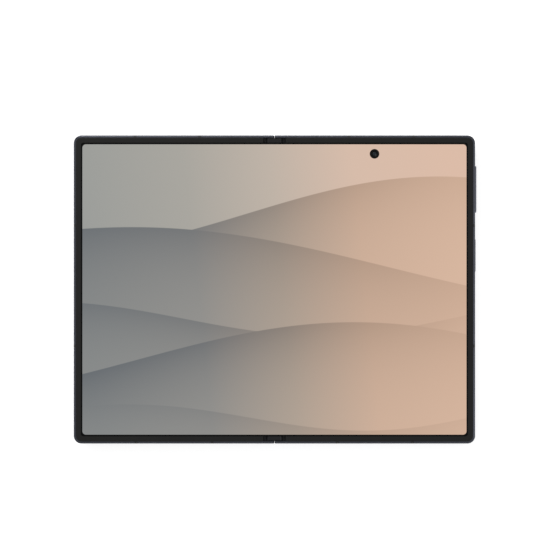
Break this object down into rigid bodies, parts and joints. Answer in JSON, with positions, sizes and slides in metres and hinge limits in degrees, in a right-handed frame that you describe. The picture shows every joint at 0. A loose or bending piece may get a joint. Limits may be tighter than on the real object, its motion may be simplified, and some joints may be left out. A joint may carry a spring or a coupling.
{
  "type": "foldable smartphone",
  "caption": "Wide book-style foldable phone, open flat: large inner display, geared hinge spine, glass covers, rear camera island, side keys, charging port and card tray.",
  "frame": {"origin": "on the fold line at mid height, at the level of the rear camera island's outer face, on which the open phone lies", "axes": "+X across the open phone towards the half with the keys, +Y along the fold towards the upper edge, +Z out of the inner display"},
  "size_m": [0.1619, 0.1238, 0.0073],
  "materials": {
    "frame_metal": "fine blasted, anodised dark grey",
    "antenna_plastic": "satin",
    "bezel_rubber": "soft matte",
    "outer_glass": "polished black glass",
    "rear_glass": "satin etched glass",
    "island_metal": "fine blasted",
    "lens_glass": "polished",
    "flash_lens": "clear diffuser",
    "camera_black": "matte black",
    "display_surface": "glossy flexible display, lit",
    "cover_panel": "dark panel",
    "spring_steel": "bright rolled sheet",
    "hinge_steel": "sintered steel",
    "screw_steel": "turned",
    "spine_metal": "anodised",
    "cap_plastic": "satin",
    "battery_foil": "laminated pouch",
    "circuit_board": "solder mask",
    "speaker_plastic": "moulded",
    "copper": "enamelled copper",
    "flex_film": "polyimide film",
    "key_metal": "anodised"
  },
  "bodies": {
    "left_half": {"left_frame": "frame_metal", "left_antenna_breaks": "antenna_plastic", "left_bezel": "bezel_rubber", "cover_glass": "outer_glass", "cover_display": "cover_panel", "cover_camera": "camera_black", "left_battery": "battery_foil", "left_board": "circuit_board", "left_shield_can": "spring_steel", "top_speaker": "speaker_plastic", "vibration_motor": "spring_steel", "tray_reader": "spring_steel", "left_magnets": "spring_steel", "left_display_plate": "spring_steel", "left_display_panel": "display_surface", "left_rail_brackets": "hinge_steel", "left_hinge_screws": "screw_steel"},
    "spine": {"spine_cover": "spine_metal", "spine_end_caps": "cap_plastic", "hinge_brackets": "hinge_steel", "disc_springs": "hinge_steel", "spine_screws": "screw_steel", "hinge_flex": "flex_film", "display_fold": "display_surface"},
    "right_half": {"right_frame": "frame_metal", "right_antenna_breaks": "antenna_plastic", "right_bezel": "bezel_rubber", "rear_glass": "rear_glass", "camera_island": "island_metal", "lens_windows": "lens_glass", "flash_window": "flash_lens", "main_camera": "camera_black", "wide_camera": "camera_black", "inner_camera": "camera_black", "right_battery": "battery_foil", "charging_coil": "copper", "main_board": "circuit_board", "shield_cans": "spring_steel", "lower_board": "circuit_board", "usb_c_port": "spring_steel", "loudspeaker": "speaker_plastic", "key_switches": "flex_film", "right_magnets": "spring_steel", "right_display_plate": "spring_steel", "right_display_panel": "display_surface", "right_rail_brackets": "hinge_steel", "right_hinge_screws": "screw_steel"},
    "left_wing": {"left_wing_plate": "spring_steel"},
    "right_wing": {"right_wing_plate": "spring_steel"},
    "left_arms": {"left_swing_arms": "hinge_steel"},
    "right_arms": {"right_swing_arms": "hinge_steel"},
    "left_idlers": {"left_idler_gears": "hinge_steel"},
    "right_idlers": {"right_idler_gears": "hinge_steel"},
    "volume_rocker": {"volume_key": "key_metal"},
    "power_button": {"power_key": "key_metal"},
    "card_tray": {"sim_tray": "frame_metal"}
  },
  "joints": [
    {"name": "fold", "type": "hinge", "parent": "spine", "child": "left_half", "pos_m": [-0.00105, 0, 0.0063], "axis": [0, 1, 0], "range_deg": [0, 90], "deforming": ["display_fold", "hinge_flex"]},
    {"name": "fold_right", "type": "hinge", "parent": "spine", "child": "right_half", "pos_m": [0.00105, 0, 0.0063], "axis": [0, -1, 0], "range_deg": [0, 90]},
    {"name": "left_arm_turn", "type": "hinge", "parent": "spine", "child": "left_arms", "pos_m": [-0.00228, 0, 0.005], "axis": [0, 1, 0], "range_deg": [0, 90]},
    {"name": "right_arm_turn", "type": "hinge", "parent": "spine", "child": "right_arms", "pos_m": [0.00228, 0, 0.005], "axis": [0, -1, 0], "range_deg": [0, 90]},
    {"name": "left_gear_turn", "type": "hinge", "parent": "spine", "child": "left_idlers", "pos_m": [-0.0008, 0, 0.0044], "axis": [0, -1, 0], "range_deg": [0, 90]},
    {"name": "right_gear_turn", "type": "hinge", "parent": "spine", "child": "right_idlers", "pos_m": [0.0008, 0, 0.0044], "axis": [0, 1, 0], "range_deg": [0, 90]},
    {"name": "left_wing_tilt", "type": "hinge", "parent": "left_half", "child": "left_wing", "pos_m": [-0.0076, 0, 0.0061], "axis": [0, 1, 0], "range_deg": [0, 8]},
    {"name": "right_wing_tilt", "type": "hinge", "parent": "right_half", "child": "right_wing", "pos_m": [0.0076, 0, 0.0061], "axis": [0, -1, 0], "range_deg": [0, 8]},
    {"name": "volume_rock", "type": "hinge", "parent": "right_half", "child": "volume_rocker", "pos_m": [0.0792, 0.0403, 0.00485], "axis": [0, 0, 1], "range_deg": [-1.2, 1.2], "stiffness_Nm_per_rad": 0.05},
    {"name": "power_press", "type": "slide", "parent": "right_half", "child": "power_button", "axis": [-1, 0, 0], "range_m": [0, 0.00015], "stiffness_N_per_m": 2000},
    {"name": "tray_slide", "type": "slide", "parent": "left_half", "child": "card_tray", "axis": [0, -1, 0], "range_m": [0, 0.027]}
  ],
  "couplings": [
    {"joint": "fold_right", "follows": "fold", "ratio": 1},
    {"joint": "left_arm_turn", "follows": "fold", "ratio": 1},
    {"joint": "right_arm_turn", "follows": "fold", "ratio": 1},
    {"joint": "left_gear_turn", "follows": "fold", "ratio": 1},
    {"joint": "right_gear_turn", "follows": "fold", "ratio": 1},
    {"joint": "left_wing_tilt", "follows": "fold", "ratio": 0.08889},
    {"joint": "right_wing_tilt", "follows": "fold", "ratio": 0.08889}
  ]
}
